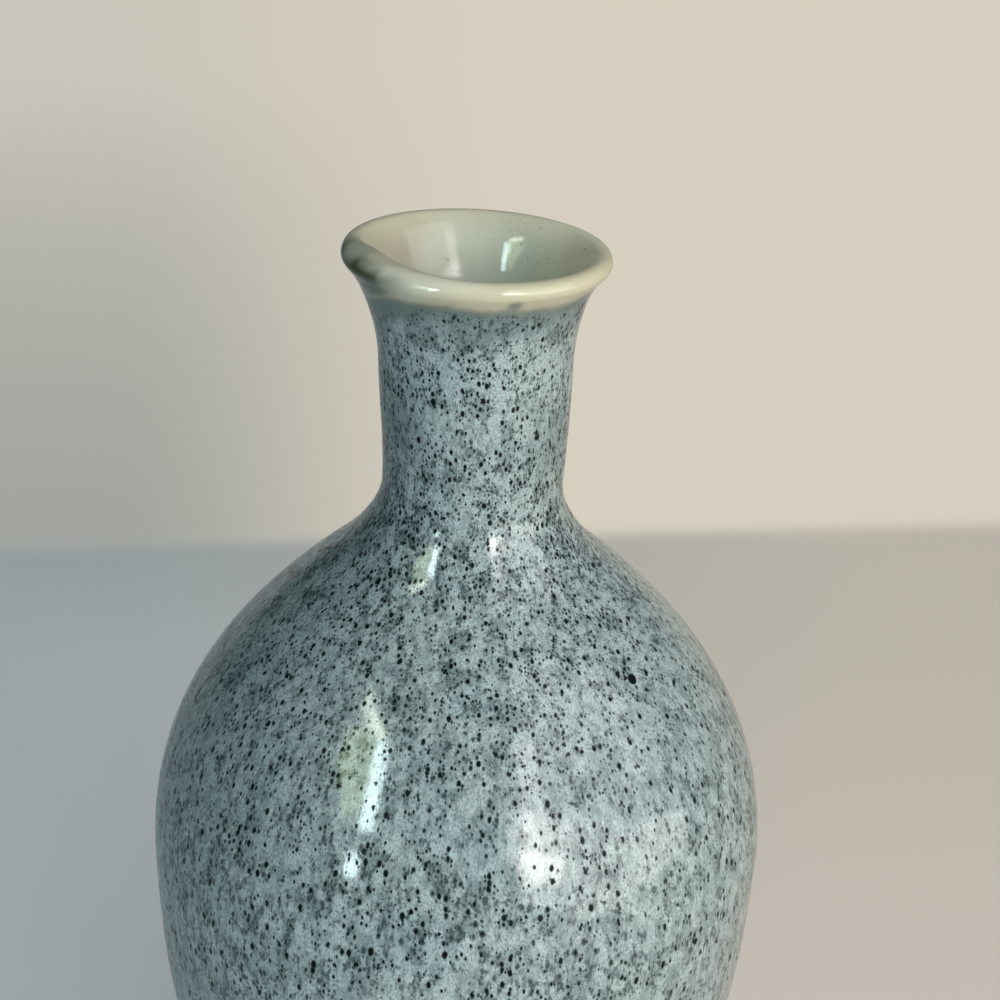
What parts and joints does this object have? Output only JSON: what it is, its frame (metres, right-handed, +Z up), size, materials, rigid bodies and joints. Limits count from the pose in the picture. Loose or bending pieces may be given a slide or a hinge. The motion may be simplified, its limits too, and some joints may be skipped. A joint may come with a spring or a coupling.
{
  "type": "bud vase",
  "caption": "Bottle-shaped stoneware bud vase with a round belly, a narrow neck and a flared rolled lip, in a pale speckled glaze, for one or a few stems.",
  "frame": {"origin": "centre of the face that the foot stands on, at table height", "axes": "+Z up along the vase's axis; the picture is taken from -Y, so +X is to its right"},
  "size_m": [0.1044, 0.1044, 0.1784],
  "materials": {
    "bare_clay_foot": "bare fired stoneware, matt",
    "bare_clay_bowl": "bare fired stoneware, matt where it shows under the glaze line",
    "clay_shoulder": "fired stoneware under the glaze",
    "clay_neck": "fired stoneware under the glaze",
    "clay_lip": "fired stoneware under the glaze",
    "speckled_glaze": "glossy pale blue-grey glaze with dark iron speckles",
    "cream_glaze": "glossy cream glaze, worn thin over the lip",
    "liner_glaze": "glossy pale grey-green liner glaze with a few fine specks"
  },
  "bodies": {
    "root": {"foot_ring": "bare_clay_foot", "belly_bowl": "bare_clay_bowl", "shoulder_dome": "clay_shoulder", "neck_tube": "clay_neck", "flared_lip": "clay_lip", "outer_glaze": "speckled_glaze", "lip_glaze": "cream_glaze", "liner_glaze": "liner_glaze"}
  },
  "joints": []
}
